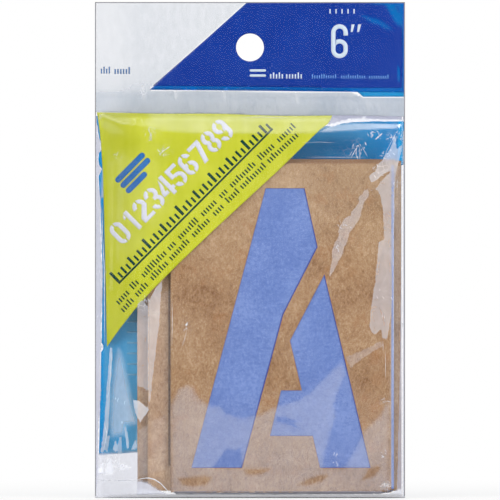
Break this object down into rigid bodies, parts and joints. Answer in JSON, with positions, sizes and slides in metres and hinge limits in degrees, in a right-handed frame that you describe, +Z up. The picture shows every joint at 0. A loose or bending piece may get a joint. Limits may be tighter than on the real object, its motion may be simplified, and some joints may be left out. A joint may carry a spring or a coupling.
{
  "type": "lettering stencil set",
  "caption": "Flat board cards, each cut through with one large bridged character, stacked with a thin interleaf sheet in a clear printed film bag whose header has a round hang hole.",
  "frame": {"origin": "centre of the hang hole, on the plane where the header's two plies meet", "axes": "+Z up, +X to the right of someone facing the front, -Y out of the front; the bag hangs upright"},
  "size_m": [0.1688, 0.0139, 0.2703],
  "materials": {
    "film_back": "gloss",
    "film_header": "gloss",
    "film_clear": "gloss",
    "oilboard": "satin",
    "sheet": "matte"
  },
  "bodies": {
    "bag": {"back_film": "film_back", "header_ply": "film_header", "front_film": "film_clear"},
    "interleaf_sheet": {"interleaf": "sheet"},
    "stencil_A": {"card_A": "oilboard"},
    "stencil_A_extra": {"card_A_extra": "oilboard"},
    "stencil_B": {"card_B": "oilboard"},
    "stencil_C": {"card_C": "oilboard"},
    "stencil_D": {"card_D": "oilboard"},
    "stencil_E": {"card_E": "oilboard"},
    "stencil_E_extra": {"card_E_extra": "oilboard"},
    "stencil_F": {"card_F": "oilboard"},
    "stencil_G": {"card_G": "oilboard"},
    "stencil_H": {"card_H": "oilboard"},
    "stencil_I": {"card_I": "oilboard"},
    "stencil_J": {"card_J": "oilboard"},
    "stencil_K": {"card_K": "oilboard"},
    "stencil_L": {"card_L": "oilboard"},
    "stencil_M": {"card_M": "oilboard"},
    "stencil_N": {"card_N": "oilboard"},
    "stencil_O": {"card_O": "oilboard"},
    "stencil_O_extra": {"card_O_extra": "oilboard"},
    "stencil_P": {"card_P": "oilboard"},
    "stencil_Q": {"card_Q": "oilboard"},
    "stencil_R": {"card_R": "oilboard"},
    "stencil_R_extra": {"card_R_extra": "oilboard"},
    "stencil_S": {"card_S": "oilboard"},
    "stencil_S_extra": {"card_S_extra": "oilboard"},
    "stencil_T": {"card_T": "oilboard"},
    "stencil_U": {"card_U": "oilboard"},
    "stencil_V": {"card_V": "oilboard"},
    "stencil_W": {"card_W": "oilboard"},
    "stencil_X": {"card_X": "oilboard"},
    "stencil_Y": {"card_Y": "oilboard"},
    "stencil_Z": {"card_Z": "oilboard"},
    "stencil_0": {"card_0": "oilboard"},
    "stencil_1": {"card_1": "oilboard"},
    "stencil_2": {"card_2": "oilboard"},
    "stencil_3": {"card_3": "oilboard"},
    "stencil_4": {"card_4": "oilboard"},
    "stencil_5": {"card_5": "oilboard"},
    "stencil_6": {"card_6": "oilboard"},
    "stencil_7": {"card_7": "oilboard"},
    "stencil_8": {"card_8": "oilboard"},
    "stencil_9": {"card_9": "oilboard"},
    "stencil_ampersand": {"card_ampersand": "oilboard"},
    "stencil_dollar": {"card_dollar": "oilboard"},
    "stencil_cent": {"card_cent": "oilboard"},
    "stencil_semicolon": {"card_semicolon": "oilboard"}
  },
  "joints": [
    {"name": "interleaf_slide", "type": "slide", "parent": "bag", "child": "interleaf_sheet", "axis": [0, 0, 1], "range_m": [0, 0.275]},
    {"name": "card_A_slide", "type": "slide", "parent": "bag", "child": "stencil_A", "axis": [0, 0, 1], "range_m": [0, 0.275]},
    {"name": "card_A_extra_slide", "type": "slide", "parent": "bag", "child": "stencil_A_extra", "axis": [0, 0, 1], "range_m": [0, 0.275]},
    {"name": "card_B_slide", "type": "slide", "parent": "bag", "child": "stencil_B", "axis": [0, 0, 1], "range_m": [0, 0.275]},
    {"name": "card_C_slide", "type": "slide", "parent": "bag", "child": "stencil_C", "axis": [0, 0, 1], "range_m": [0, 0.275]},
    {"name": "card_D_slide", "type": "slide", "parent": "bag", "child": "stencil_D", "axis": [0, 0, 1], "range_m": [0, 0.275]},
    {"name": "card_E_slide", "type": "slide", "parent": "bag", "child": "stencil_E", "axis": [0, 0, 1], "range_m": [0, 0.275]},
    {"name": "card_E_extra_slide", "type": "slide", "parent": "bag", "child": "stencil_E_extra", "axis": [0, 0, 1], "range_m": [0, 0.275]},
    {"name": "card_F_slide", "type": "slide", "parent": "bag", "child": "stencil_F", "axis": [0, 0, 1], "range_m": [0, 0.275]},
    {"name": "card_G_slide", "type": "slide", "parent": "bag", "child": "stencil_G", "axis": [0, 0, 1], "range_m": [0, 0.275]},
    {"name": "card_H_slide", "type": "slide", "parent": "bag", "child": "stencil_H", "axis": [0, 0, 1], "range_m": [0, 0.275]},
    {"name": "card_I_slide", "type": "slide", "parent": "bag", "child": "stencil_I", "axis": [0, 0, 1], "range_m": [0, 0.275]},
    {"name": "card_J_slide", "type": "slide", "parent": "bag", "child": "stencil_J", "axis": [0, 0, 1], "range_m": [0, 0.275]},
    {"name": "card_K_slide", "type": "slide", "parent": "bag", "child": "stencil_K", "axis": [0, 0, 1], "range_m": [0, 0.275]},
    {"name": "card_L_slide", "type": "slide", "parent": "bag", "child": "stencil_L", "axis": [0, 0, 1], "range_m": [0, 0.275]},
    {"name": "card_M_slide", "type": "slide", "parent": "bag", "child": "stencil_M", "axis": [0, 0, 1], "range_m": [0, 0.275]},
    {"name": "card_N_slide", "type": "slide", "parent": "bag", "child": "stencil_N", "axis": [0, 0, 1], "range_m": [0, 0.275]},
    {"name": "card_O_slide", "type": "slide", "parent": "bag", "child": "stencil_O", "axis": [0, 0, 1], "range_m": [0, 0.275]},
    {"name": "card_O_extra_slide", "type": "slide", "parent": "bag", "child": "stencil_O_extra", "axis": [0, 0, 1], "range_m": [0, 0.275]},
    {"name": "card_P_slide", "type": "slide", "parent": "bag", "child": "stencil_P", "axis": [0, 0, 1], "range_m": [0, 0.275]},
    {"name": "card_Q_slide", "type": "slide", "parent": "bag", "child": "stencil_Q", "axis": [0, 0, 1], "range_m": [0, 0.275]},
    {"name": "card_R_slide", "type": "slide", "parent": "bag", "child": "stencil_R", "axis": [0, 0, 1], "range_m": [0, 0.275]},
    {"name": "card_R_extra_slide", "type": "slide", "parent": "bag", "child": "stencil_R_extra", "axis": [0, 0, 1], "range_m": [0, 0.275]},
    {"name": "card_S_slide", "type": "slide", "parent": "bag", "child": "stencil_S", "axis": [0, 0, 1], "range_m": [0, 0.275]},
    {"name": "card_S_extra_slide", "type": "slide", "parent": "bag", "child": "stencil_S_extra", "axis": [0, 0, 1], "range_m": [0, 0.275]},
    {"name": "card_T_slide", "type": "slide", "parent": "bag", "child": "stencil_T", "axis": [0, 0, 1], "range_m": [0, 0.275]},
    {"name": "card_U_slide", "type": "slide", "parent": "bag", "child": "stencil_U", "axis": [0, 0, 1], "range_m": [0, 0.275]},
    {"name": "card_V_slide", "type": "slide", "parent": "bag", "child": "stencil_V", "axis": [0, 0, 1], "range_m": [0, 0.275]},
    {"name": "card_W_slide", "type": "slide", "parent": "bag", "child": "stencil_W", "axis": [0, 0, 1], "range_m": [0, 0.275]},
    {"name": "card_X_slide", "type": "slide", "parent": "bag", "child": "stencil_X", "axis": [0, 0, 1], "range_m": [0, 0.275]},
    {"name": "card_Y_slide", "type": "slide", "parent": "bag", "child": "stencil_Y", "axis": [0, 0, 1], "range_m": [0, 0.275]},
    {"name": "card_Z_slide", "type": "slide", "parent": "bag", "child": "stencil_Z", "axis": [0, 0, 1], "range_m": [0, 0.275]},
    {"name": "card_0_slide", "type": "slide", "parent": "bag", "child": "stencil_0", "axis": [0, 0, 1], "range_m": [0, 0.275]},
    {"name": "card_1_slide", "type": "slide", "parent": "bag", "child": "stencil_1", "axis": [0, 0, 1], "range_m": [0, 0.275]},
    {"name": "card_2_slide", "type": "slide", "parent": "bag", "child": "stencil_2", "axis": [0, 0, 1], "range_m": [0, 0.275]},
    {"name": "card_3_slide", "type": "slide", "parent": "bag", "child": "stencil_3", "axis": [0, 0, 1], "range_m": [0, 0.275]},
    {"name": "card_4_slide", "type": "slide", "parent": "bag", "child": "stencil_4", "axis": [0, 0, 1], "range_m": [0, 0.275]},
    {"name": "card_5_slide", "type": "slide", "parent": "bag", "child": "stencil_5", "axis": [0, 0, 1], "range_m": [0, 0.275]},
    {"name": "card_6_slide", "type": "slide", "parent": "bag", "child": "stencil_6", "axis": [0, 0, 1], "range_m": [0, 0.275]},
    {"name": "card_7_slide", "type": "slide", "parent": "bag", "child": "stencil_7", "axis": [0, 0, 1], "range_m": [0, 0.275]},
    {"name": "card_8_slide", "type": "slide", "parent": "bag", "child": "stencil_8", "axis": [0, 0, 1], "range_m": [0, 0.275]},
    {"name": "card_9_slide", "type": "slide", "parent": "bag", "child": "stencil_9", "axis": [0, 0, 1], "range_m": [0, 0.275]},
    {"name": "card_ampersand_slide", "type": "slide", "parent": "bag", "child": "stencil_ampersand", "axis": [0, 0, 1], "range_m": [0, 0.275]},
    {"name": "card_dollar_slide", "type": "slide", "parent": "bag", "child": "stencil_dollar", "axis": [0, 0, 1], "range_m": [0, 0.275]},
    {"name": "card_cent_slide", "type": "slide", "parent": "bag", "child": "stencil_cent", "axis": [0, 0, 1], "range_m": [0, 0.275]},
    {"name": "card_semicolon_slide", "type": "slide", "parent": "bag", "child": "stencil_semicolon", "axis": [0, 0, 1], "range_m": [0, 0.275]}
  ]
}
